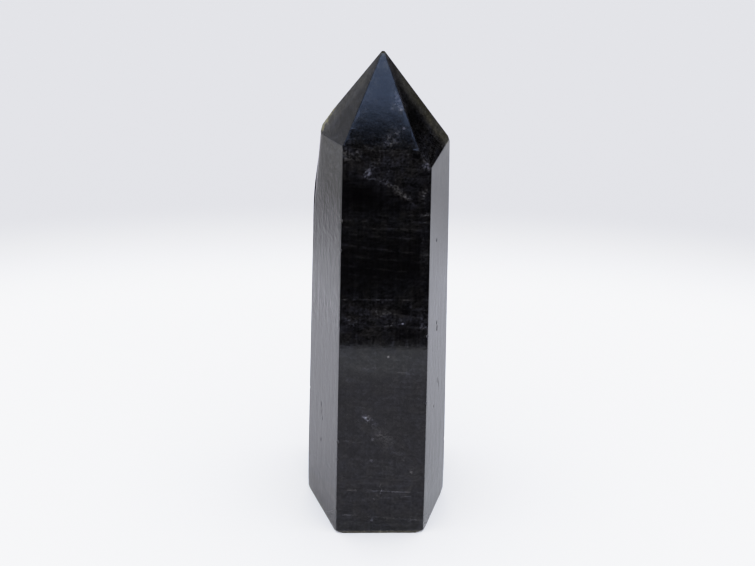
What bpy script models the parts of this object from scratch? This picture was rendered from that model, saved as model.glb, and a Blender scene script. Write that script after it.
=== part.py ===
"""A polished tower of morion quartz, cut and ground from one crystal.

It stands on its sawn base at z = 0, with its box centred on the Z axis and its front towards -Y.
The stone is cut in millimetres, one flat facet at a time as a lapidary grinds them, and is scaled to
metres at the end.
"""

import math

import bmesh
import bpy
from mathutils import Matrix, Vector

MM = 0.001

BLOCK_SIDE = 60.0
BLOCK_HEIGHT = 110.0
TIP = Vector((0.2, -2.0, 100.0))  # where the six tip faces would meet
BLUNT_TIP_HEIGHT = 99.7

# Prism faces: azimuth from the front in degrees, positive towards +X; tilt of the face's normal above
# the horizontal in degrees, so that the stone narrows upwards; distance from the Z axis at the base.
PRISM_FACES = {
    "front": (2.0, 1.0, 16.45),
    "right": (75.0, 0.4, 13.55),
    "rear_right": (107.0, 0.8, 13.3),
    "back": (181.0, 0.9, 16.58),
    "rear_left": (-107.0, 1.0, 13.4),
    "left": (-70.0, 0.8, 13.05),
}

# Tip faces: azimuth and tilt. Each one runs through the tip.
TIP_FACES = {
    "front": (6.0, 41.5),
    "right": (76.5, 33.2),
    "rear_right": (114.0, 32.8),
    "back": (178.0, 42.0),
    "rear_left": (-114.0, 34.3),
    "left": (-80.5, 34.0),
}

# Facets ground by hand on the side corners under the tip: azimuth, tilt, distance from the axis, and
# the height of that distance.
HAND_FACETS = {
    "left_shoulder": (-95.0, 27.5, 8.6, 87.1),
    "left_relief": (-94.0, 7.2, 12.9, 68.4),
    "right_shoulder": (92.0, 20.0, 12.9, 81.2),
}

# Base corners broken against the wheel: the two prism faces of the corner and the depth ground off.
BROKEN_CORNERS = [
    ("front", "left", 0.5),
    ("front", "right", 0.45),
    ("right", "rear_right", 0.35),
    ("rear_left", "left", 0.2),
    ("back", "rear_right", 0.5),
    ("back", "rear_left", 0.6),
]
CORNER_TILT = -52.0

EDGE_ROUNDING = 0.22
EDGE_SEGMENTS = 2
SHARPEST_KEPT_ANGLE = 6.0  # edges flatter than this keep no rounding
SNAP = 0.05  # a new facet takes in the corners that it passes this closely

# Shell-shaped nicks on the long edges: the edge's two prism faces, height, radius and depth.
EDGE_NICKS = [
    ("front", "left", 70.7, 0.9, 0.22),
    ("front", "left", 21.8, 1.2, 0.34),
    ("front", "left", 18.1, 0.8, 0.24),
    ("front", "right", 45.6, 0.9, 0.26),
    ("front", "right", 30.4, 0.6, 0.16),
    ("right", "rear_right", 12.5, 0.9, 0.22),
    ("back", "rear_right", 57.0, 1.3, 0.3),
    ("back", "rear_left", 33.0, 1.0, 0.26),
    ("rear_left", "left", 24.0, 0.8, 0.18),
]

# Open pits on the prism faces: the face, distance along it from its middle line (to the right as seen
# from outside), height, half width, half height and depth.
FACE_PITS = [
    ("right", -5.75, 44.2, 0.55, 0.75, 0.4),
    ("right", -7.1, 64.1, 0.35, 0.45, 0.25),
    ("left", 2.9, 16.8, 0.3, 0.8, 0.2),
    ("back", 3.2, 49.0, 0.5, 0.6, 0.3),
    ("rear_left", -4.0, 61.0, 0.4, 0.7, 0.25),
]

MORION_BLACK = (0.012, 0.010, 0.011, 1.0)
POLISHED = 0.06


def normal_of(azimuth, tilt):
    a, t = math.radians(azimuth), math.radians(tilt)
    return Vector((math.sin(a) * math.cos(t), -math.cos(a) * math.cos(t), math.sin(t)))


def point_at(azimuth, distance, height):
    """The point at this distance from the Z axis, in the azimuth's direction."""
    a = math.radians(azimuth)
    return Vector((math.sin(a) * distance, -math.cos(a) * distance, height))


def prism_plane(name):
    """The normal of a prism face and a point on it."""
    azimuth, tilt, distance = PRISM_FACES[name]
    return normal_of(azimuth, tilt), point_at(azimuth, distance, 0.0)


def edge_point(name_a, name_b, height):
    """Where two prism faces meet at a height."""
    normal_a, point_a = prism_plane(name_a)
    normal_b, point_b = prism_plane(name_b)
    up = Vector((0, 0, 1))
    distances = Vector((normal_a.dot(point_a), normal_b.dot(point_b), height))
    return Matrix((normal_a, normal_b, up)).inverted() @ distances


def grind(bm, normal, point):
    """Cuts a flat facet: removes the stone beyond the plane and closes the cut."""
    everything = bm.verts[:] + bm.edges[:] + bm.faces[:]
    cut = bmesh.ops.bisect_plane(
        bm, geom=everything, dist=SNAP, plane_co=point, plane_no=normal, clear_outer=True
    )
    rim = [part for part in cut["geom_cut"] if isinstance(part, bmesh.types.BMEdge)]
    bmesh.ops.contextual_create(bm, geom=rim)


def cut_stone(bm):
    """Cuts the block to the prism, the tip, the hand facets and the broken base corners."""
    size = Vector((BLOCK_SIDE, BLOCK_SIDE, BLOCK_HEIGHT))
    lift = Matrix.Translation((0, 0, BLOCK_HEIGHT / 2))
    bmesh.ops.create_cube(bm, size=1.0, matrix=lift @ Matrix.Diagonal(size).to_4x4())
    for name in PRISM_FACES:
        grind(bm, *prism_plane(name))
    for azimuth, tilt in TIP_FACES.values():
        grind(bm, normal_of(azimuth, tilt), TIP)
    for azimuth, tilt, distance, height in HAND_FACETS.values():
        grind(bm, normal_of(azimuth, tilt), point_at(azimuth, distance, height))
    for name_a, name_b, depth in BROKEN_CORNERS:
        outward = prism_plane(name_a)[0] + prism_plane(name_b)[0]
        azimuth = math.degrees(math.atan2(outward.x, -outward.y))
        normal = normal_of(azimuth, CORNER_TILT)
        grind(bm, normal, edge_point(name_a, name_b, 0.0) - normal * depth)
    grind(bm, Vector((0, 0, 1)), Vector((0, 0, BLUNT_TIP_HEIGHT)))


def add_scoop(bm, centre, size):
    """One rounded lump of the nick cutter, with its half sizes along X, Y and Z."""
    matrix = Matrix.Translation(centre) @ Matrix.Diagonal(size).to_4x4()
    bmesh.ops.create_icosphere(bm, subdivisions=2, radius=1.0, matrix=matrix)


def shape_scoops(bm):
    """The nicks and pits, as lumps that each reach into the stone by their depth."""
    for name_a, name_b, height, radius, depth in EDGE_NICKS:
        outward = (prism_plane(name_a)[0] + prism_plane(name_b)[0]).normalized()
        centre = edge_point(name_a, name_b, height) + outward * (radius - depth)
        add_scoop(bm, centre, Vector((radius, radius, radius)))
    for name, along, height, half_width, half_height, depth in FACE_PITS:
        normal, point = prism_plane(name)
        side = Vector((-normal.y, normal.x, 0)).normalized()
        middle = point + side * along
        middle.z = height
        middle -= normal * normal.dot(middle - point)
        sunk = half_width - depth
        add_scoop(bm, middle + normal * sunk, Vector((half_width, half_width, half_height)))


def object_from(bm, name, collection):
    """Turns a bmesh in millimetres into an object in metres."""
    bmesh.ops.scale(bm, vec=(MM, MM, MM), verts=bm.verts)
    mesh = bpy.data.meshes.new(name)
    bm.to_mesh(mesh)
    bm.free()
    obj = bpy.data.objects.new(name, mesh)
    collection.objects.link(obj)
    return obj


def morion_material():
    """Morion: smoky quartz so dark that a polished face looks black."""
    material = bpy.data.materials.new("morion_quartz_polished")
    material.use_nodes = True
    shader = material.node_tree.nodes["Principled BSDF"]
    shader.inputs["Base Color"].default_value = MORION_BLACK
    shader.inputs["Roughness"].default_value = POLISHED
    shader.inputs["Metallic"].default_value = 0.0
    shader.inputs["IOR"].default_value = 1.544
    return material


def round_edges(crystal):
    """The narrow rounding that polishing leaves on every edge."""
    bevel = crystal.modifiers.new("edge_rounding", "BEVEL")
    bevel.width = EDGE_ROUNDING * MM
    bevel.segments = EDGE_SEGMENTS
    bevel.limit_method = "ANGLE"
    bevel.angle_limit = math.radians(SHARPEST_KEPT_ANGLE)


def cut_scoops(crystal, cutter):
    nicks = crystal.modifiers.new("nicks_and_pits", "BOOLEAN")
    nicks.operation = "DIFFERENCE"
    nicks.object = cutter


def new_collection(name):
    collection = bpy.data.collections.new(name)
    bpy.context.scene.collection.children.link(collection)
    return collection


for old in list(bpy.data.objects):
    bpy.data.objects.remove(old, do_unlink=True)

parts = new_collection("morion_quartz_tower")
cutters = new_collection("cutters")

stone = bmesh.new()
cut_stone(stone)
crystal = object_from(stone, "morion_crystal", parts)
crystal.data.materials.append(morion_material())

scoops = bmesh.new()
shape_scoops(scoops)
cutter = object_from(scoops, "nick_cutter", cutters)
cutter.hide_render = True
cutter.display_type = "WIRE"

round_edges(crystal)
cut_scoops(crystal, cutter)
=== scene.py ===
"""A hand-polished tower of morion quartz, standing on pale cloth under soft light.

The sections follow the object: the stone as it is cut, its nicks and pits, the finish of its faces and
what grew inside it, then the cloth, the lights and the camera.
"""

import math

import bmesh
import bpy
from mathutils import Matrix, Quaternion, Vector, noise


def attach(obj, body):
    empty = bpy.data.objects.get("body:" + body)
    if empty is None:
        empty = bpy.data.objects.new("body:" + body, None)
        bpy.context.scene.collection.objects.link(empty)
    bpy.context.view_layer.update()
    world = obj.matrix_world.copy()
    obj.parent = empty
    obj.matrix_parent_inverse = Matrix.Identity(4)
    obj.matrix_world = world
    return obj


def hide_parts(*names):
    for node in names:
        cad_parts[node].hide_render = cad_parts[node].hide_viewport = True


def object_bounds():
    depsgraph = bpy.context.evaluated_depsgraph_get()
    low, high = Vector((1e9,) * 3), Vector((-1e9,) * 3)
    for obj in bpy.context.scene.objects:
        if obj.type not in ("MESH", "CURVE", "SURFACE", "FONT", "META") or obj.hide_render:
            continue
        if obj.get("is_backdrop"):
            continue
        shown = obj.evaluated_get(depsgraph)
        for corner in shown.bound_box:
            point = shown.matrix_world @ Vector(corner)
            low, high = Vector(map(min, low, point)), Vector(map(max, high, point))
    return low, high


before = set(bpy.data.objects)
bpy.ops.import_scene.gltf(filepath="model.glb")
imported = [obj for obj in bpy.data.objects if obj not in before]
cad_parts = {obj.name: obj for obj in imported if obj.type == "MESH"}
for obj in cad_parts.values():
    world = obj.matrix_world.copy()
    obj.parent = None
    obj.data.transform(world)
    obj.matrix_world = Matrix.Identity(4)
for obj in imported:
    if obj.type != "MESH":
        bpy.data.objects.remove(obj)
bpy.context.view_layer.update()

# The stone. One crystal of smoky quartz, so dark that it passes for black, sawn flat at its base and
# ground on a flat wheel, one face at a time, to six sides and a six-sided point. Two small facets on the
# upper side corners took off what the crystal lacked there. Sizes are in millimetres, the front is -Y.
MM = 0.001
BLOCK_SIDE = 60.0
BLOCK_HEIGHT = 110.0
TIP = Vector((0.16, -2.0, 100.2))
BLUNT_TIP_HEIGHT = 99.6
SNAP = 0.05
FINE_SNAP = 0.001

# Azimuth from the front, positive towards +X, and tilt above the horizontal, both in degrees; then the
# distance from the Z axis at the base.
PRISM_FACES = {
    "front": (2.0, 1.0, 16.45),
    "right": (75.0, 0.4, 13.55),
    "rear_right": (107.0, 0.8, 13.3),
    "back": (181.0, 0.9, 16.58),
    "rear_left": (-107.0, 1.0, 13.4),
    "left": (-70.0, 0.8, 13.05),
}
# Azimuth and tilt of the faces that meet in the tip.
TIP_FACES = {
    "front": (6.0, 41.5),
    "right": (76.5, 33.2),
    "rear_right": (114.0, 32.8),
    "back": (178.0, 42.0),
    "rear_left": (-114.0, 34.05),
    "left": (-80.5, 33.75),
}
# Azimuth, tilt, distance from the axis, and the height of that distance.
HAND_FACETS = {
    "left_shoulder": (-99.0, 27.5, 8.8, 87.1),
    "left_relief": (-94.0, 5.5, 12.22, 74.0),
    "right_shoulder": (92.0, 20.0, 12.9, 81.2),
}
# Two prism faces that share a corner, and how deep that corner was broken against the wheel.
BROKEN_CORNERS = [
    ("front", "left", 0.5),
    ("front", "right", 0.60),
    ("right", "rear_right", 0.35),
    ("rear_left", "left", 0.2),
    ("back", "rear_right", 0.5),
    ("back", "rear_left", 0.6),
]
CORNER_TILT = -52.0

ROLL_RADIUS = 5.5  # the left face rolls over softly into the facet behind it
ROLL_STEPS = 5
EDGE_ROUNDING = 0.14
EDGE_SEGMENTS = 3
ROUNDED_FROM = 12.0  # edges flatter than this, in degrees, are left as they are
GRID = 1.6  # the step of the points that the flat faces are given
SCORE_SNAP = 0.01
# The cut lines that give the faces those points: the axis across them, and where they start and end.
SCORE_LINES = [((0, 0, 1), 0.9, 99.0), ((1, 0, 0), -13.6, 14.0), ((0, 1, 0), -16.0, 16.6)]
FOOT_HEIGHT = 12.0  # over this height the left and right sides draw in towards the base
FOOT_DRAW = 0.16
BELLY = 0.10  # the sides stand this proud at mid-height
HALF_WIDTH, HALF_DEPTH = 13.9, 16.5
# The rear strip of the left face, this wide, was ground away by up to this depth: not at all at the first
# height, and fully from the second one up.
ROLL_WIDTH = 5.5
ROLL_DEPTH = 0.2
ROLL_FROM, ROLL_FULL = 58.0, 72.0
SAME_WAY = 0.9  # normals whose dot product is past this belong to the same face
WAVE_LENGTH = 11.0
WAVE_HEIGHT = 0.004


def normal_of(azimuth, tilt):
    a, t = math.radians(azimuth), math.radians(tilt)
    return Vector((math.sin(a) * math.cos(t), -math.cos(a) * math.cos(t), math.sin(t)))


def point_at(azimuth, distance, height):
    """The point at this distance from the Z axis, in the azimuth's direction."""
    a = math.radians(azimuth)
    return Vector((math.sin(a) * distance, -math.cos(a) * distance, height))


def prism_plane(name):
    """The normal of a prism face and a point on it."""
    azimuth, tilt, distance = PRISM_FACES[name]
    return normal_of(azimuth, tilt), point_at(azimuth, distance, 0.0)


def edge_point(name_a, name_b, height):
    """Where two prism faces meet at a height."""
    normal_a, point_a = prism_plane(name_a)
    normal_b, point_b = prism_plane(name_b)
    distances = Vector((normal_a.dot(point_a), normal_b.dot(point_b), height))
    return Matrix((normal_a, normal_b, Vector((0, 0, 1)))).inverted() @ distances


def geometry(bm):
    return bm.verts[:] + bm.edges[:] + bm.faces[:]


def grind(bm, normal, point, snap=SNAP):
    """Cuts a flat facet: removes the stone beyond the plane and closes the cut."""
    cut = bmesh.ops.bisect_plane(
        bm, geom=geometry(bm), dist=snap, plane_co=point, plane_no=normal, clear_outer=True
    )
    rim = [part for part in cut["geom_cut"] if isinstance(part, bmesh.types.BMEdge)]
    bmesh.ops.contextual_create(bm, geom=rim)


def round_edges(bm, edges):
    bmesh.ops.bevel(
        bm,
        geom=edges,
        offset=EDGE_ROUNDING,
        offset_type="OFFSET",
        segments=EDGE_SEGMENTS,
        profile=0.5,
        affect="EDGES",
        material=-1,
        clamp_overlap=False,
    )


def roll_over(bm, plane_a, plane_b):
    """Rounds the edge between two planes to a radius, by narrow strips between them."""
    (normal_a, point_a), (normal_b, point_b) = plane_a, plane_b
    up = Vector((0, 0, 1))
    inside = Vector(
        (normal_a.dot(point_a) - ROLL_RADIUS, normal_b.dot(point_b) - ROLL_RADIUS, point_b.z)
    )
    centre = Matrix((normal_a, normal_b, up)).inverted() @ inside
    for step in range(ROLL_STEPS):
        normal = normal_a.lerp(normal_b, (step + 1) / (ROLL_STEPS + 1)).normalized()
        grind(bm, normal, centre + normal * ROLL_RADIUS, snap=FINE_SNAP)


def crisp_edges(bm):
    limit = math.radians(ROUNDED_FROM)
    return [edge for edge in bm.edges if edge.calc_face_angle(0.0) > limit]


def score(bm, direction, first, last):
    """Lays cut lines over the stone, a grid's step apart, so that flat faces have points to move."""
    for step in range(math.floor((last - first) / GRID) + 1):
        place = direction * (first + step * GRID)
        bmesh.ops.bisect_plane(
            bm, geom=geometry(bm), dist=SCORE_SNAP, plane_co=place, plane_no=direction
        )


def hand_polish(bm):
    """The faint bow and waves of faces held to the wheel by hand, and the side that rolls over behind."""
    left, rear_edge = prism_plane("left")[0], edge_point("rear_left", "left", ROLL_FULL)
    forwards = Vector((-left.y, left.x, 0.0)).normalized()
    bm.normal_update()
    for vert in bm.verts:
        behind = 1.0 - forwards.dot(vert.co - rear_edge) / ROLL_WIDTH
        if vert.normal.dot(left) > SAME_WAY and behind > 0.0:
            rise = (vert.co.z - ROLL_FROM) / (ROLL_FULL - ROLL_FROM)
            vert.co -= left * ROLL_DEPTH * behind * behind * min(1.0, max(0.0, rise))
        bow = BELLY * math.sin(math.pi * min(1.0, vert.co.z / TIP.z)) / HALF_DEPTH
        foot = max(0.0, 1.0 - vert.co.z / FOOT_HEIGHT)
        vert.co += vert.normal * WAVE_HEIGHT * noise.noise(vert.co / WAVE_LENGTH)
        vert.co.x *= 1.0 + bow - FOOT_DRAW * foot * foot / HALF_WIDTH
        vert.co.y *= 1.0 + bow


stone = bmesh.new()
block = Matrix.Translation((0, 0, BLOCK_HEIGHT / 2)) @ Matrix.Diagonal(
    (BLOCK_SIDE, BLOCK_SIDE, BLOCK_HEIGHT, 1.0)
)
bmesh.ops.create_cube(stone, size=1.0, matrix=block)
for face_name in PRISM_FACES:
    grind(stone, *prism_plane(face_name))
for azimuth, tilt in TIP_FACES.values():
    grind(stone, normal_of(azimuth, tilt), TIP)
hand_planes = {}
for facet, (azimuth, tilt, distance, height) in HAND_FACETS.items():
    hand_planes[facet] = (normal_of(azimuth, tilt), point_at(azimuth, distance, height))
    grind(stone, *hand_planes[facet])
roll_over(stone, prism_plane("left"), hand_planes["left_relief"])
for name_a, name_b, depth in BROKEN_CORNERS:
    outward = prism_plane(name_a)[0] + prism_plane(name_b)[0]
    corner_normal = normal_of(math.degrees(math.atan2(outward.x, -outward.y)), CORNER_TILT)
    grind(stone, corner_normal, edge_point(name_a, name_b, 0.0) - corner_normal * depth)
grind(stone, Vector((0, 0, 1)), Vector((0, 0, BLUNT_TIP_HEIGHT)))

round_edges(stone, crisp_edges(stone))
for across, first, last in SCORE_LINES:
    score(stone, Vector(across), first, last)
hand_polish(stone)
bmesh.ops.recalc_face_normals(stone, faces=stone.faces)
bmesh.ops.scale(stone, vec=(MM, MM, MM), verts=stone.verts)
crystal_mesh = bpy.data.meshes.new("polished_morion_tower")
stone.to_mesh(crystal_mesh)
stone.free()
crystal_mesh.shade_smooth()
crystal = bpy.data.objects.new("polished_morion_tower", crystal_mesh)
bpy.context.scene.collection.objects.link(crystal)

# Nicks and pits. Quartz has no cleavage, so a knock on an edge takes out a small shell-shaped chip with a
# frosted floor, and a hollow or scratch that the wheel left in a face stays dark, with a sharp rim.
# The two prism faces of the edge, then height, radius and depth.
EDGE_NICKS = [
    ("front", "left", 70.7, 0.7, 0.13),
    ("front", "left", 64.4, 0.5, 0.09),
    ("front", "left", 21.6, 0.9, 0.18),
    ("front", "left", 17.6, 0.6, 0.13),
    ("front", "right", 45.6, 0.6, 0.15),
    ("front", "right", 30.4, 0.5, 0.11),
    ("right", "rear_right", 12.5, 0.9, 0.22),
    ("back", "rear_right", 57.0, 1.3, 0.3),
    ("back", "rear_left", 33.0, 1.0, 0.26),
    ("rear_left", "left", 24.0, 0.8, 0.18),
]
# The face, the place along it from its middle line (to the right as seen from outside), height, half
# width, half height and depth.
FACE_PITS = [
    ("right", -5.6, 44.9, 0.35, 0.60, 0.06),
    ("right", -5.3, 43.5, 0.40, 0.90, 0.09),
    ("right", -6.8, 63.9, 0.30, 0.55, 0.06),
    ("right", -4.0, 30.7, 0.15, 0.70, 0.06),
    ("right", -2.9, 29.3, 0.12, 0.80, 0.05),
    ("right", -6.6, 26.2, 0.20, 0.40, 0.06),
    ("left", 2.75, 24.4, 0.12, 0.80, 0.04),
    ("left", 3.10, 22.9, 0.12, 0.90, 0.04),
    ("left", 3.55, 21.6, 0.12, 0.60, 0.04),
    ("left", 2.85, 16.2, 0.18, 0.60, 0.06),
    ("left", -0.8, 5.6, 0.12, 0.80, 0.05),
    ("back", 3.2, 49.0, 0.5, 0.6, 0.3),
    ("back", -1.6, 22.4, 0.3, 0.9, 0.1),
    ("rear_left", -4.0, 61.0, 0.4, 0.7, 0.25),
    ("rear_right", 2.1, 36.5, 0.35, 0.5, 0.15),
]
SHARP_RIM = 32.0  # rims sharper than this, in degrees, aren't smoothed over
SCOOP_SUBDIVISIONS = 3


def on_face(name, along, height):
    """A point on a prism face and the face's normal."""
    normal, point = prism_plane(name)
    side = Vector((-normal.y, normal.x, 0)).normalized()
    place = point + side * along
    place.z = height
    return place - normal * normal.dot(place - point), normal


def add_scoop(bm, centre, half_sizes):
    matrix = Matrix.Translation(centre) @ Matrix.Diagonal(half_sizes).to_4x4()
    bmesh.ops.create_icosphere(bm, subdivisions=SCOOP_SUBDIVISIONS, radius=1.0, matrix=matrix)


scoops = bmesh.new()
frosted = scoops.faces.layers.float.new("frosted")
for name_a, name_b, height, radius, depth in EDGE_NICKS:
    outward = (prism_plane(name_a)[0] + prism_plane(name_b)[0]).normalized()
    centre = edge_point(name_a, name_b, height) + outward * (radius - depth)
    add_scoop(scoops, centre, Vector((radius, radius, radius)))
for face in scoops.faces:
    face[frosted] = 1.0
for name, along, height, half_width, half_height, depth in FACE_PITS:
    middle, normal = on_face(name, along, height)
    sunk = half_width - depth
    add_scoop(scoops, middle + normal * sunk, Vector((half_width, half_width, half_height)))
bmesh.ops.scale(scoops, vec=(MM, MM, MM), verts=scoops.verts)
scoop_mesh = bpy.data.meshes.new("nick_cutter")
scoops.to_mesh(scoop_mesh)
scoops.free()
scoop_mesh.shade_smooth()
cutter = bpy.data.objects.new("nick_cutter", scoop_mesh)
bpy.context.scene.collection.objects.link(cutter)

chips = crystal.modifiers.new("nicks_and_pits", "BOOLEAN")
chips.operation = "DIFFERENCE"
chips.object = cutter
bpy.context.view_layer.update()
chipped = crystal.evaluated_get(bpy.context.evaluated_depsgraph_get())
crystal.data = bpy.data.meshes.new_from_object(chipped)
crystal.modifiers.clear()
bpy.data.objects.remove(cutter)
crystal.data.set_sharp_from_angle(angle=math.radians(SHARP_RIM))
flat_faces = crystal.modifiers.new("flat_faces", "WEIGHTED_NORMAL")
flat_faces.keep_sharp = True

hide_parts("morion_crystal")
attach(crystal, "root")

# The finish. Morion quartz, ground and then polished on felt with oxide: glossy as glass, with the haze of
# fine vertical polishing lines, and black inside except for what grew in the crystal, with brown light
# painted into its colour at the thin edges.
MORION_BLACK = "#080708"
VEIL_WARM = "#aaa6a3"
VEIL_COOL = "#a3a3ae"
PAINTED_GLOW_BROWN = "#8e8868"
QUARTZ_IOR = 1.544
POLISHED = 0.055
DULLED = 0.025  # what the polishing lines add to the roughness
FROSTED = 0.35  # what a chip's floor adds to it
FROST = 0.26  # what it adds to the veils
LINE_DEPTH = 0.016  # the marks of the wheel, in millimetres
MARKS_END = (84.0, 78.0)  # the point is polished finer: no marks above the first height
GRAIN_SHARE = 0.5  # the dimples between the marks, as a share of their depth
ORANGE_PEEL = 0.001  # the faint waviness of every polished face, in millimetres
CLEARNESS = 0.3  # the share of the light that goes into the stone unscattered
VEIL_OPACITY = 0.86  # how far the thickest veil hides the dark behind it
SMOKE_COLOUR = "#c4ae81"
SMOKE_DENSITY = 2200.0  # per metre: light is gone within a few millimetres

# Patterns in the quartz: size of a cell across, deep and up in mm, dip to the right in degrees, detail,
# and the two values of the noise between which it is spread from 0 to 1. Real polishing lines are a few
# hundredths of a millimetre wide, too fine to show, so they are drawn as coarse as they need to be.
PATTERNS = {
    "polish_lines": ((0.42, 0.42, 17.0), 0.0, 3.0, 0.30, 0.70),
    "wheel_marks": ((1.1, 1.5, 6.0), 0.0, 3.0, 0.25, 0.75),
    "mottle": ((1.3, 1.3, 1.2), 0.0, 4.0, 0.32, 0.68),
    "curd": ((0.5, 0.5, 0.45), 0.0, 3.0, 0.32, 0.68),
    "layers": ((5.0, 5.0, 0.67), 3.0, 4.0, 0.35, 0.70),
    "breaks": ((2.2, 2.2, 1.4), 0.0, 3.0, 0.40, 0.60),
    "hue": ((2.4, 2.4, 2.4), 0.0, 3.0, 0.38, 0.62),
}
FINER_STEPS = 0.6  # how strongly each finer step of the noise shows
# How cloudy the quartz is at each height, as parts of the height of the stone.
CLOUDINESS = [
    (0.00, 0.17), (0.12, 0.17), (0.30, 0.14), (0.42, 0.175), (0.50, 0.22), (0.555, 0.12), (0.60, 0.06),
    (0.66, 0.10), (0.70, 0.15), (0.75, 0.13), (0.79, 0.18), (0.85, 0.19), (0.875, 0.10), (1.00, 0.10),
]
LEFT_CLOUD = 0.06  # the quartz is cloudier under the left face of the point
LINES_SHOWN = 0.06  # what the polishing lines add to the haze
# How patchy the haze is: its even part, and the share of each pattern.
EVEN_HAZE = 0.1
PATCHES = {"mottle": 0.6, "curd": 0.75, "layers": 0.45}
# Thin healed cracks show as threads where the mottling crosses this value.
THREAD_AT = 0.5
THREAD_WIDTH = 0.035
THREAD_STRENGTH = 0.5

# Veils and wisps that lie just behind the front faces: place across (+X) and height, half width, half
# height, turn in degrees (clockwise), strength.
WISPS = [
    (-1.9, 81.6, 2.3, 0.75, -52, 0.15),
    (-2.2, 81.0, 0.8, 0.7, -50, 0.14),
    (-2.5, 79.9, 1.6, 0.6, 15, 0.12),
    (-0.3, 79.4, 1.8, 0.6, 5, 0.12),
    (1.8, 78.4, 1.7, 0.6, 22, 0.12),
    (3.5, 77.0, 1.5, 0.6, 42, 0.22),
    (4.9, 75.7, 1.4, 0.7, 38, 0.22),
    (6.1, 74.2, 1.2, 0.7, 30, 0.10),
    (8.2, 76.0, 0.9, 1.4, 0, 0.28),
    (8.5, 71.9, 1.1, 0.4, 0, 0.30),
    (-1.9, 85.7, 1.6, 0.5, 15, 0.10),
    (-5.4, 84.6, 2.0, 1.2, 30, 0.10),
    (8.67, 82.35, 0.6, 1.0, -20, 0.42),
    (7.9, 84.0, 0.5, 0.8, -30, 0.16),
    (1.5, 83.0, 3.6, 2.2, 0, 0.05),
    (-3.4, 76.0, 6.0, 3.6, 22, -0.12),
    (4.8, 51.3, 2.2, 0.9, 8, -0.14),
    (5.4, 46.0, 3.6, 1.6, 10, -0.10),
    (8.5, 62.5, 0.9, 6.5, 0, 0.11),
    (2.2, 48.1, 1.3, 0.6, -30, 0.10),
    (4.8, 49.0, 1.8, 0.5, 5, 0.10),
    (1.0, 50.9, 3.6, 0.7, -8, 0.08),
    (-5.0, 48.8, 1.3, 1.3, 0, 0.08),
    (8.9, 47.8, 0.6, 1.2, 0, 0.14),
    (-2.0, 27.3, 1.1, 0.6, 32, 0.36),
    (-1.2, 26.2, 1.6, 0.9, 45, 0.14),
    (1.4, 22.8, 2.8, 1.3, 42, 0.15),
    (4.3, 18.6, 3.4, 0.9, 44, 0.06),
    (-3.4, 29.6, 3.0, 0.3, 5, 0.08),
    (-4.3, 21.6, 3.2, 0.25, 3, 0.08),
    (-1.3, 38.6, 4.0, 0.5, 2, 0.09),
    (5.6, 37.4, 2.6, 0.4, 12, 0.09),
    (1.05, 10.6, 0.12, 2.0, 0, 0.22),
    (2.6, 93.0, 1.0, 2.4, 0, 0.18),
    (3.7, 91.9, 1.2, 1.6, -10, 0.21),
    (3.2, 88.3, 2.0, 1.0, 0, 0.11),
    (2.0, 87.3, 2.1, 1.0, -20, 0.21),
    (0.8, 86.2, 3.2, 0.6, -6, 0.14),
]
# Bright grains: place across and height, half size, strength.
GRAINS = [
    (4.97, 84.6, 0.25, 0.16),
    (4.72, 48.4, 0.24, 0.62),
    (2.07, 41.05, 0.26, 0.55),
    (0.8, 53.2, 0.3, 0.15),
    (6.2, 52.05, 0.3, 0.15),
    (-0.7, 22.2, 0.3, 0.26),
    (-1.0, 17.35, 0.3, 0.22),
    (7.0, 14.5, 0.3, 0.34),
    (-0.7, 3.2, 0.3, 0.30),
    (-4.4, 85.3, 0.25, 0.14),
    (-6.4, 83.7, 0.35, 0.14),
    (3.7, 91.3, 0.3, 0.34),
    (4.2, 88.6, 0.3, 0.30),
    (1.95, 91.5, 0.3, 0.22),
    (-2.3, 95.7, 0.22, 0.26),
]
# Straight growth lines: height at the middle, fall to the right in mm per mm, half thickness, strength.
GROWTH_LINES = [
    (71.9, 0.0, 0.10, 0.10),
    (70.6, 0.03, 0.16, 0.11),
    (69.1, 0.06, 0.24, 0.12),
    (67.4, 0.09, 0.18, 0.11),
    (64.7, 0.14, 0.20, 0.14),
    (62.6, 0.10, 0.18, 0.12),
    (60.4, 0.12, 0.14, 0.11),
    (58.6, 0.12, 0.12, 0.09),
    (53.7, 0.01, 0.10, 0.22),
    (10.1, 0.05, 0.12, 0.26),
    (8.2, -0.09, 0.12, 0.24),
    (3.9, 0.09, 0.12, 0.18),
]
VEIL_REACH = 2.0  # the veils are this deep, from front to back
RAGGED = 0.7  # how far their edges wander
RAG_SIZE = 1.1
RAG_DETAIL = 3.0
NOISE_MIDDLE = (0.5, 0.5, 0.5)
CURD_IN_VEILS, VEIL_BETWEEN = 1.2, 0.4  # the strength that the curd gives a veil, and its least strength
VEIL_FADE = 1.5  # a veil is gone at this many of its half sizes
# Full strength up to the first number of half sizes, gone past the second.
GRAIN_FADE = (0.4, 1.6)
LINE_FADE = (0.3, 2.2)
LINES_FULL_TO, LINES_GONE_AT = 2.0, 6.0  # the growth lines show this far behind the front
# Painted light, brown, where the stone is thin enough for light to come through: along the rear edges of
# the tip, on the shoulder, at the point and at the rim of the base.
LIT_EDGES = [
    ("right", "rear_right"),
    ("left", "rear_left"),
    ("back", "rear_left"),
    ("back", "rear_right"),
]
LIT_STRENGTH = {"right": 0.35, "left": 0.22, "back": 0.3}
LIT_DEPTH = 3.0
LIT_FULLY = 0.3  # the outer part of that depth that is lit fully
LOST_IN_FRONT = 0.6  # the share of it that doesn't reach the front face of the point
# Elsewhere: the heights where the painted light starts and is full, and its strength.
LIT_PLACES = {"shoulder": (80.0, 84.0, 0.55), "point": (99.0, 99.5, 0.20), "rim": (1.0, 0.2, 0.46)}
SHOULDER_DEPTH = 0.3
FRONT_DEPTH = 0.8  # the front face is polished finer: the wheel's marks begin this far behind it
BROWN_FROM = 0.58  # the painted light through the edges is fully brown from this strength up


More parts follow.
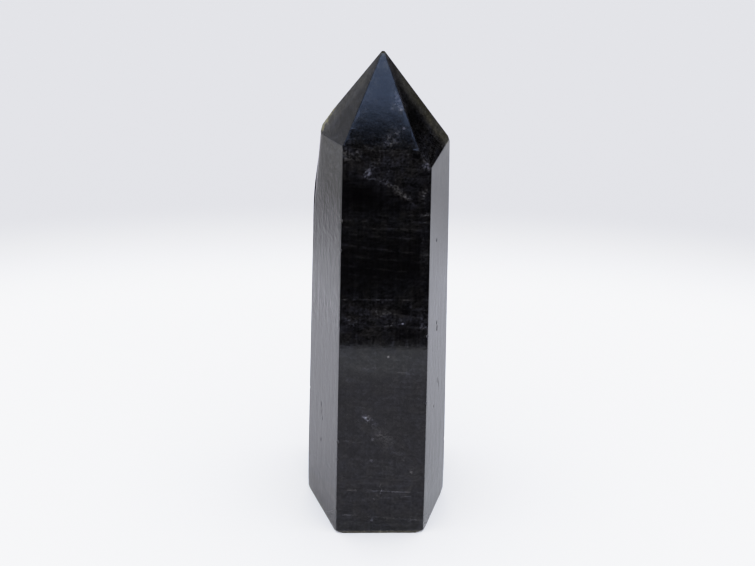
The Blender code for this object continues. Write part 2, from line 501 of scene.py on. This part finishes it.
def linear(hex_colour):
    """An sRGB hex colour as a linear RGBA value."""
    values = [int(hex_colour[i : i + 2], 16) / 255 for i in (1, 3, 5)]
    return [v / 12.92 if v <= 0.04045 else ((v + 0.055) / 1.055) ** 2.4 for v in values] + [1.0]


def add_node(tree, kind, inputs=None, **settings):
    """Adds a node. Each of its inputs is given a value, or the socket or node that feeds it."""
    node = tree.nodes.new(kind)
    for name, value in settings.items():
        setattr(node, name, value)
    for name, source in (inputs or {}).items():
        if isinstance(source, bpy.types.Node):
            source = source.outputs[0]
        if isinstance(source, bpy.types.NodeSocket):
            tree.links.new(source, node.inputs[name])
        else:
            node.inputs[name].default_value = source
    return node


def new_material(name):
    """A material with an empty node tree."""
    material = bpy.data.materials.new(name)
    material.use_nodes = True
    material.node_tree.nodes.clear()
    return material, material.node_tree


def front_at(x, height):
    """How far forward the front of the stone lies at a place across and a height."""
    depths = []
    for normal, point in (prism_plane("front"), (normal_of(*TIP_FACES["front"]), TIP)):
        rest = normal.x * (x - point.x) + normal.z * (height - point.z)
        depths.append(point.y - rest / normal.y)
    return max(depths)


morion, tree = new_material("morion_quartz_polished")
where = add_node(tree, "ShaderNodeTexCoord")
in_mm = add_node(
    tree, "ShaderNodeVectorMath", {0: where.outputs["Object"], "Scale": 1.0 / MM}, operation="SCALE"
)
axes = add_node(tree, "ShaderNodeSeparateXYZ", {"Vector": in_mm})
x_mm, y_mm, z_mm = axes.outputs

pattern = {}
for name, (cell, dip, detail, low, high) in PATTERNS.items():
    laid = add_node(
        tree,
        "ShaderNodeMapping",
        {"Vector": in_mm, "Rotation": (0.0, math.radians(dip), 0.0), "Scale": cell},
        vector_type="TEXTURE",
    )
    growth = add_node(
        tree,
        "ShaderNodeTexNoise",
        {"Vector": laid, "Scale": 1.0, "Detail": detail, "Roughness": FINER_STEPS},
    )
    pattern[name] = add_node(
        tree,
        "ShaderNodeMapRange",
        {"Value": growth, "From Min": low, "From Max": high},
        interpolation_type="SMOOTHSTEP",
    )

# The haze: cloudier at some heights, patchy, and crossed by threads.
height_part = add_node(tree, "ShaderNodeMath", {0: z_mm, 1: TIP.z}, operation="DIVIDE")
cloudy = add_node(tree, "ShaderNodeValToRGB", {"Fac": height_part})
stops = cloudy.color_ramp.elements
while len(stops) < len(CLOUDINESS):
    stops.new(0.5)
for stop, (place, amount) in zip(stops, CLOUDINESS):
    stop.position = place
    stop.color = (amount, amount, amount, 1.0)
patchy = EVEN_HAZE
for name, share in PATCHES.items():
    patchy = add_node(
        tree, "ShaderNodeMath", {0: pattern[name], 1: share, 2: patchy}, operation="MULTIPLY_ADD"
    )
middle = add_node(
    tree, "ShaderNodeMath", {0: pattern["mottle"], 1: THREAD_AT, 2: THREAD_WIDTH}, operation="COMPARE"
)
threads = add_node(tree, "ShaderNodeMath", {0: middle, 1: pattern["curd"]}, operation="MULTIPLY")
patchy = add_node(
    tree, "ShaderNodeMath", {0: threads, 1: THREAD_STRENGTH, 2: patchy}, operation="MULTIPLY_ADD"
)
haze = add_node(tree, "ShaderNodeMath", {0: cloudy, 1: patchy}, operation="MULTIPLY")
veil = add_node(
    tree,
    "ShaderNodeMath",
    {0: pattern["polish_lines"], 1: LINES_SHOWN, 2: haze},
    operation="MULTIPLY_ADD",
)

# The veils, with ragged edges.
wander = add_node(
    tree, "ShaderNodeTexNoise", {"Vector": in_mm, "Scale": 1.0 / RAG_SIZE, "Detail": RAG_DETAIL}
)
wander = add_node(
    tree, "ShaderNodeVectorMath", {0: wander.outputs["Color"], 1: NOISE_MIDDLE}, operation="SUBTRACT"
)
ragged = add_node(
    tree,
    "ShaderNodeVectorMath",
    {0: wander, 1: (2.0 * RAGGED, 2.0 * RAGGED, 2.0 * RAGGED), 2: in_mm},
    operation="MULTIPLY_ADD",
)
wisps = 0.0
for x, z, half_width, half_height, turn, strength in WISPS:
    inside = add_node(
        tree,
        "ShaderNodeMapping",
        {
            "Vector": ragged,
            "Location": (x, front_at(x, z), z),
            "Rotation": (0.0, math.radians(turn), 0.0),
            "Scale": (half_width, VEIL_REACH, half_height),
        },
        vector_type="TEXTURE",
    )
    reach = add_node(tree, "ShaderNodeVectorMath", {0: inside}, operation="LENGTH")
    wisp = add_node(
        tree,
        "ShaderNodeMapRange",
        {
            "Value": reach.outputs["Value"],
            "From Min": VEIL_FADE,
            "From Max": 0.0,
            "To Max": strength,
        },
        interpolation_type="SMOOTHSTEP",
    )
    wisps = add_node(tree, "ShaderNodeMath", {0: wisp, 1: wisps}, operation="ADD")
curdled = add_node(
    tree,
    "ShaderNodeMath",
    {0: pattern["curd"], 1: CURD_IN_VEILS, 2: VEIL_BETWEEN},
    operation="MULTIPLY_ADD",
)
veil = add_node(tree, "ShaderNodeMath", {0: wisps, 1: curdled, 2: veil}, operation="MULTIPLY_ADD")

grains = 0.0
for x, z, half_size, strength in GRAINS:
    apart = add_node(
        tree, "ShaderNodeVectorMath", {0: in_mm, 1: (x, front_at(x, z), z)}, operation="DISTANCE"
    )
    grain = add_node(
        tree,
        "ShaderNodeMapRange",
        {
            "Value": apart.outputs["Value"],
            "From Min": GRAIN_FADE[1] * half_size,
            "From Max": GRAIN_FADE[0] * half_size,
            "To Max": strength,
        },
        interpolation_type="SMOOTHSTEP",
    )
    grains = add_node(tree, "ShaderNodeMath", {0: grain, 1: grains}, operation="ADD")
veil = add_node(tree, "ShaderNodeMath", {0: grains, 1: veil}, operation="ADD")

# The growth lines, broken, in the front part of the stone.
at_front = add_node(
    tree,
    "ShaderNodeMapRange",
    {
        "Value": y_mm,
        "From Min": LINES_GONE_AT - HALF_DEPTH,
        "From Max": LINES_FULL_TO - HALF_DEPTH,
    },
    interpolation_type="SMOOTHSTEP",
)
lines = 0.0
for height, fall, half_thickness, strength in GROWTH_LINES:
    tilted = add_node(tree, "ShaderNodeMath", {0: x_mm, 1: fall, 2: z_mm}, operation="MULTIPLY_ADD")
    off = add_node(tree, "ShaderNodeMath", {0: tilted, 1: height}, operation="SUBTRACT")
    off = add_node(tree, "ShaderNodeMath", {0: off}, operation="ABSOLUTE")
    line = add_node(
        tree,
        "ShaderNodeMapRange",
        {
            "Value": off,
            "From Min": LINE_FADE[1] * half_thickness,
            "From Max": LINE_FADE[0] * half_thickness,
            "To Max": strength,
        },
        interpolation_type="SMOOTHSTEP",
    )
    lines = add_node(tree, "ShaderNodeMath", {0: line, 1: lines}, operation="ADD")
lines = add_node(tree, "ShaderNodeMath", {0: lines, 1: pattern["breaks"]}, operation="MULTIPLY")
veil = add_node(tree, "ShaderNodeMath", {0: lines, 1: at_front, 2: veil}, operation="MULTIPLY_ADD")

# The frost on the floors of the chips.
frost = add_node(tree, "ShaderNodeAttribute", attribute_name="frosted").outputs["Fac"]
veil = add_node(tree, "ShaderNodeMath", {0: frost, 1: FROST, 2: veil}, operation="MULTIPLY_ADD")

# Painted light through the thin places. Near a plane is 1 on that plane of the stone and 0 this deep under
# it.
planes = {name: (normal_of(*angles), TIP, LIT_DEPTH) for name, angles in TIP_FACES.items()}
planes["left_shoulder"] = (*hand_planes["left_shoulder"], SHOULDER_DEPTH)
planes["front_side"] = (*prism_plane("front"), FRONT_DEPTH)
near = {}
for name, (normal, point, full_depth) in planes.items():
    along = add_node(tree, "ShaderNodeVectorMath", {0: in_mm, 1: normal}, operation="DOT_PRODUCT")
    near[name] = add_node(
        tree,
        "ShaderNodeMapRange",
        {
            "Value": along.outputs["Value"],
            "From Min": normal.dot(point) - full_depth,
            "From Max": normal.dot(point) - LIT_FULLY * full_depth,
        },
        interpolation_type="SMOOTHSTEP",
    )
shoulder = add_node(
    tree, "ShaderNodeMath", {0: near["left_shoulder"], 1: pattern["mottle"]}, operation="MULTIPLY"
)
lit = 0.0
for name_a, name_b in LIT_EDGES:
    edge = add_node(tree, "ShaderNodeMath", {0: near[name_a], 1: near[name_b]}, operation="MULTIPLY")
    edge = add_node(tree, "ShaderNodeMath", {0: edge, 1: LIT_STRENGTH[name_a]}, operation="MULTIPLY")
    lit = add_node(tree, "ShaderNodeMath", {0: edge, 1: lit}, operation="MAXIMUM")
behind = add_node(
    tree, "ShaderNodeMath", {0: near["front"], 1: -LOST_IN_FRONT, 2: 1.0}, operation="MULTIPLY_ADD"
)
lit = add_node(tree, "ShaderNodeMath", {0: lit, 1: behind}, operation="MULTIPLY")
for place, (start, end, strength) in LIT_PLACES.items():
    within = shoulder if place == "shoulder" else 1.0
    part = add_node(
        tree,
        "ShaderNodeMapRange",
        {"Value": z_mm, "From Min": start, "From Max": end, "To Max": strength},
        interpolation_type="SMOOTHSTEP",
    )
    lit = add_node(tree, "ShaderNodeMath", {0: part, 1: within, 2: lit}, operation="MULTIPLY_ADD")
cloud = add_node(tree, "ShaderNodeMath", {0: near["left"], 1: LEFT_CLOUD}, operation="MULTIPLY")
veil = add_node(tree, "ShaderNodeMath", {0: cloud, 1: patchy, 2: veil}, operation="MULTIPLY_ADD")
veil = add_node(tree, "ShaderNodeMath", {0: veil, 1: lit}, operation="ADD", use_clamp=True)

# The colours. Inputs 6 and 7 of a colour Mix are what it mixes, and output 2 is the result.
# Painted light: the veil colour turns brown where the light through the thin places is painted.
brown = add_node(tree, "ShaderNodeMath", {0: lit, 1: BROWN_FROM}, operation="DIVIDE", use_clamp=True)
veil_tint = add_node(
    tree,
    "ShaderNodeMix",
    {"Factor": pattern["hue"], 6: linear(VEIL_WARM), 7: linear(VEIL_COOL)},
    data_type="RGBA",
)
tint = add_node(
    tree,
    "ShaderNodeMix",
    {"Factor": brown, 6: veil_tint.outputs[2], 7: linear(PAINTED_GLOW_BROWN)},
    data_type="RGBA",
)
thin = add_node(tree, "ShaderNodeMath", {0: veil, 1: veil}, operation="MULTIPLY")
shown = add_node(tree, "ShaderNodeMath", {0: thin, 1: VEIL_OPACITY}, operation="MULTIPLY")
coloured = add_node(
    tree,
    "ShaderNodeMix",
    {"Factor": shown, 6: linear(MORION_BLACK), 7: tint.outputs[2]},
    data_type="RGBA",
)
rough = add_node(
    tree,
    "ShaderNodeMath",
    {0: pattern["polish_lines"], 1: DULLED, 2: POLISHED},
    operation="MULTIPLY_ADD",
)
rough = add_node(tree, "ShaderNodeMath", {0: frost, 1: FROSTED, 2: rough}, operation="MULTIPLY_ADD")
peel = add_node(tree, "ShaderNodeMath", {0: pattern["mottle"], 1: ORANGE_PEEL}, operation="MULTIPLY")
below_point = add_node(
    tree,
    "ShaderNodeMapRange",
    {"Value": z_mm, "From Min": MARKS_END[0], "From Max": MARKS_END[1], "To Max": LINE_DEPTH},
    interpolation_type="SMOOTHSTEP",
)
marked = add_node(tree, "ShaderNodeMath", {0: 1.0, 1: near["front_side"]}, operation="SUBTRACT")
marked = add_node(tree, "ShaderNodeMath", {0: marked, 1: below_point}, operation="MULTIPLY")
marks = add_node(
    tree,
    "ShaderNodeMath",
    {0: pattern["mottle"], 1: GRAIN_SHARE, 2: pattern["wheel_marks"]},
    operation="MULTIPLY_ADD",
)
relief = add_node(tree, "ShaderNodeMath", {0: marks, 1: marked, 2: peel}, operation="MULTIPLY_ADD")
uneven = add_node(tree, "ShaderNodeBump", {"Height": relief, "Distance": MM})
glass = add_node(
    tree,
    "ShaderNodeBsdfPrincipled",
    {
        "Base Color": coloured.outputs[2],
        "Transmission Weight": CLEARNESS,
        "Roughness": rough,
        "IOR": QUARTZ_IOR,
        "Normal": uneven,
    },
)
smoke = add_node(
    tree, "ShaderNodeVolumeAbsorption", {"Color": linear(SMOKE_COLOUR), "Density": SMOKE_DENSITY}
)
add_node(tree, "ShaderNodeOutputMaterial", {"Surface": glass, "Volume": smoke})
crystal.data.materials.clear()
crystal.data.materials.append(morion)

# The cloth. A flat sheet of white woven cotton under the stone, matt. Its colour holds a painted pool of
# light near the stone, where it looks overlit, and painted shade towards the back, where it is greyer. Its
# threads don't show from here in so much light, so none are drawn.
CLOTH_RADIUS = 1.2
CLOTH_SEGMENTS = 96
CLOTH_IN_PAINTED_LIGHT = "#f3f3f4"
CLOTH_IN_PAINTED_SHADE = "#bebdbe"
PAINTED_LIGHT_POOL_CENTRE = (0.0, -0.040, 0.0)
PAINTED_LIGHT_POOL_HALF_SIZES = (0.26, 0.165, 1.0)
PAINTED_LIGHT_POOL_SOFT_FROM = 0.72

cloth = bmesh.new()
bmesh.ops.create_circle(cloth, cap_ends=True, segments=CLOTH_SEGMENTS, radius=CLOTH_RADIUS)
cloth_mesh = bpy.data.meshes.new("pale_cloth")
cloth.to_mesh(cloth_mesh)
cloth.free()
floor = bpy.data.objects.new("pale_cloth", cloth_mesh)
bpy.context.scene.collection.objects.link(floor)
cotton, tree = new_material("white_cotton_cloth")
where = add_node(tree, "ShaderNodeTexCoord")
pool = add_node(
    tree,
    "ShaderNodeMapping",
    {"Vector": where.outputs["Object"], "Location": PAINTED_LIGHT_POOL_CENTRE, "Scale": PAINTED_LIGHT_POOL_HALF_SIZES},
    vector_type="TEXTURE",
)
away = add_node(tree, "ShaderNodeVectorMath", {0: pool}, operation="LENGTH")
fade = add_node(
    tree,
    "ShaderNodeMapRange",
    {"Value": away.outputs["Value"], "From Min": PAINTED_LIGHT_POOL_SOFT_FROM, "From Max": 1.0},
    interpolation_type="SMOOTHSTEP",
)
# Painted light and shade: the cloth's colour runs from the painted pool of light near the stone to painted
# shade further off.
tone = add_node(
    tree,
    "ShaderNodeMix",
    {"Factor": fade, 6: linear(CLOTH_IN_PAINTED_LIGHT), 7: linear(CLOTH_IN_PAINTED_SHADE)},
    data_type="RGBA",
)
weave = add_node(tree, "ShaderNodeBsdfDiffuse", {"Color": tone.outputs[2]})
add_node(tree, "ShaderNodeOutputMaterial", {"Surface": weave})
floor.data.materials.append(cotton)
floor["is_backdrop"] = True

# The light. A white tent all round lights the stone evenly. It isn't mirrored itself. What the polished
# faces mirror is the cloth and a few sheets that light nothing and that only the faces see: a painted
# reflection of a cool softbox overhead, painted grey and dark reflections, and painted shade over the
# reflected cloth.
TENT_LIGHT = (1.27, 1.30, 1.39, 1.0)  # what it sheds, brighter than white
TENT_SEEN = (0.655, 0.652, 0.672, 1.0)  # what shows of it behind the stone
world = bpy.data.worlds.new("white_tent")
bpy.context.scene.world = world
world.use_nodes = True
world.node_tree.nodes.clear()
seen_by = add_node(world.node_tree, "ShaderNodeLightPath")
tent_colour = add_node(
    world.node_tree,
    "ShaderNodeMix",
    {"Factor": seen_by.outputs["Is Camera Ray"], 6: TENT_LIGHT, 7: TENT_SEEN},
    data_type="RGBA",
)
tent = add_node(world.node_tree, "ShaderNodeBackground", {"Color": tent_colour.outputs[2]})
add_node(world.node_tree, "ShaderNodeOutputWorld", {"Surface": tent})
world.cycles_visibility.glossy = False


def painted_reflection_sheet(name, centre, size, turn=(0, 0), painted_glow=None, painted_dimming=None, soft=None):
    """A sheet that lights nothing and that only the polished faces mirror: a painted reflection that
    glows, or painted shade that dims the reflection of what lies behind it. It can be soft along one axis:
    clear at one distance from its middle, full at another."""
    sheet = bmesh.new()
    place = (
        Matrix.Translation(centre)
        @ Matrix.Rotation(math.radians(turn[1]), 4, "Z")
        @ Matrix.Rotation(math.radians(turn[0]), 4, "X")
        @ Matrix.Diagonal((size[0], size[1], 1.0, 1.0))
    )
    bmesh.ops.create_grid(sheet, x_segments=1, y_segments=1, size=0.5, matrix=place)
    mesh = bpy.data.meshes.new(name)
    sheet.to_mesh(mesh)
    sheet.free()
    reflection_sheet = bpy.data.objects.new(name, mesh)
    bpy.context.scene.collection.objects.link(reflection_sheet)
    material, tree = new_material(name)
    if painted_glow:
        surface = add_node(tree, "ShaderNodeEmission", {"Color": (*painted_glow, 1.0)})
    else:
        surface = add_node(tree, "ShaderNodeBsdfTransparent", {"Color": (*painted_dimming, 1.0)})
    if soft:
        axis, middle, clear_from, full_to = soft
        where = add_node(tree, "ShaderNodeTexCoord")
        axes = add_node(tree, "ShaderNodeSeparateXYZ", {"Vector": where.outputs["Object"]})
        away = add_node(
            tree, "ShaderNodeMath", {0: axes.outputs[axis], 1: middle}, operation="SUBTRACT"
        )
        away = add_node(tree, "ShaderNodeMath", {0: away}, operation="ABSOLUTE")
        fade = add_node(
            tree,
            "ShaderNodeMapRange",
            {"Value": away, "From Min": clear_from, "From Max": full_to},
            interpolation_type="SMOOTHSTEP",
        )
        clear = add_node(tree, "ShaderNodeBsdfTransparent")
        surface = add_node(tree, "ShaderNodeMixShader", {0: fade, 1: clear, 2: surface})
    add_node(tree, "ShaderNodeOutputMaterial", {"Surface": surface})
    material.cycles.emission_sampling = "NONE"
    reflection_sheet.data.materials.append(material)
    reflection_sheet.visible_camera = False
    reflection_sheet.visible_diffuse = False
    reflection_sheet.visible_transmission = False
    reflection_sheet.visible_volume_scatter = False
    reflection_sheet.visible_shadow = False
    reflection_sheet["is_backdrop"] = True


# Places, sizes and soft edges in metres, turns in degrees about X and then about Z. The sheets of painted
# shade lie just over the cloth or under the painted softbox reflection, each a little higher or lower than
# what it overlaps.
# Painted dark reflection: a dark sheet in front that only the faces mirror.
painted_reflection_sheet(
    "painted_dark_reflection_in_front", (0.0, -0.0935, 0.035), (0.5, 0.07), (90, 4.7), painted_glow=(0.035, 0.032, 0.04)
)
# Painted highlight: a glowing softbox sheet overhead that lights nothing and that only the faces mirror.
painted_reflection_sheet(
    "painted_softbox_reflection_overhead", (0.0, -0.02, 0.45), (0.9, 0.50), painted_glow=(1.30, 1.65, 2.40),
    soft=("Y", -0.02, 0.2318, 0.2138),
)
# Painted shade over part of the painted softbox reflection.
painted_reflection_sheet(
    "painted_shade_under_softbox_reflection", (0.0, -0.17, 0.449), (0.9, 0.22), painted_dimming=(0.30, 0.30, 0.32),
    soft=("X", 0.03, 0.07, 0.13),
)
# Painted grey reflection at the left back.
painted_reflection_sheet(
    "painted_grey_reflection_left", (-0.32, 0.42, 0.10), (0.34, 0.22), (90, 36), painted_glow=(0.375, 0.38, 0.405)
)
# Painted grey reflection at the right back.
painted_reflection_sheet(
    "painted_grey_reflection_right", (0.27, 0.32, 0.14), (0.30, 0.13), (90, -41), painted_glow=(0.22, 0.22, 0.25),
    soft=("Z", 0.14, 0.048, 0.026),
)
# Painted grey reflection lying on the cloth at the left back, seen only in the faces.
painted_reflection_sheet(
    "painted_grey_reflection_on_cloth", (-0.190, 0.130, 0.0006), (0.26, 0.20), painted_glow=(0.50, 0.50, 0.51),
    soft=("X", -0.190, 0.128, 0.072),
)
# Painted shade over the mirrored cloth to the left of the stone.
painted_reflection_sheet(
    "painted_shade_reflection_left", (-0.090, 0.082, 0.0004), (0.146, 0.196), painted_dimming=(0.93, 0.915, 0.92)
)
# Painted shade over the mirrored cloth to the right of the stone.
painted_reflection_sheet(
    "painted_shade_reflection_right", (0.046, 0.082, 0.0004), (0.08, 0.196), painted_dimming=(0.76, 0.755, 0.76),
    soft=("X", 0.046, 0.035, 0.019),
)
# Painted shade over the mirrored cloth at the left foot of the stone.
painted_reflection_sheet(
    "painted_shade_reflection_at_left_foot", (-0.0105, 0.017, 0.0004), (0.013, 0.066), painted_dimming=(0.92, 0.90, 0.89)
)
# Painted shade over the mirrored cloth in front of the stone.
painted_reflection_sheet(
    "painted_shade_reflection_in_front", (0.0, -0.050, 0.0003), (0.5, 0.08), painted_dimming=(0.77, 0.745, 0.765),
    soft=("Y", -0.050, 0.036, 0.024),
)
# Painted brown-tinted shade over the mirrored cloth behind the stone.
painted_reflection_sheet(
    "painted_brown_shade_reflection_behind", (-0.080, 0.260, 0.0008), (0.10, 0.16), painted_dimming=(0.42, 0.41, 0.31)
)

# The camera. A long lens half a metre away looks 30 degrees down on the stone, turned by a hair as one
# held in the hand is. Places are in metres, the lens and sensor in millimetres.
CAMERA_PLACE = Vector((0.0, -0.480, 0.324))
CAMERA_AIM = Vector((-0.00025, 0.0, 0.04846))
CAMERA_ROLL = math.radians(0.9)
LENS = 133.8
SENSOR_WIDTH = 36.0
CLIP_START = 0.01
camera_data = bpy.data.cameras.new("camera")
camera_data.lens = LENS
camera_data.sensor_width = SENSOR_WIDTH
camera_data.clip_start = CLIP_START
camera = bpy.data.objects.new("camera", camera_data)
camera.location = CAMERA_PLACE
camera.rotation_mode = "QUATERNION"
straight = (CAMERA_AIM - CAMERA_PLACE).to_track_quat("-Z", "Y")
camera.rotation_quaternion = straight @ Quaternion((0, 0, 1), CAMERA_ROLL)
bpy.context.scene.collection.objects.link(camera)
bpy.context.scene.camera = camera

# The film. Its response lifts the mid tones, holds the brightest whites back and deepens the darks: the
# light that comes in, against the tone that it leaves.
FILM_RANGE = 2.0
FILM_RESPONSE = [
    (0.0, 0.0),
    (0.02, 0.009),
    (0.05, 0.029),
    (0.10, 0.075),
    (0.20, 0.195),
    (0.30, 0.315),
    (0.45, 0.53),
    (0.66, 0.775),
    (0.91, 0.88),
    (1.20, 0.937),
    (2.0, 0.965),
]
view = bpy.context.scene.view_settings
view.view_transform = "Standard"
view.use_curve_mapping = True
response = view.curve_mapping
response.white_level = (FILM_RANGE, FILM_RANGE, FILM_RANGE)
points = response.curves[3].points
points[0].location = (0.0, 0.0)
points[-1].location = (1.0, FILM_RESPONSE[-1][1])
for light_in, light_out in FILM_RESPONSE[1:-1]:
    points.new(light_in / FILM_RANGE, light_out)
response.update()

low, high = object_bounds()
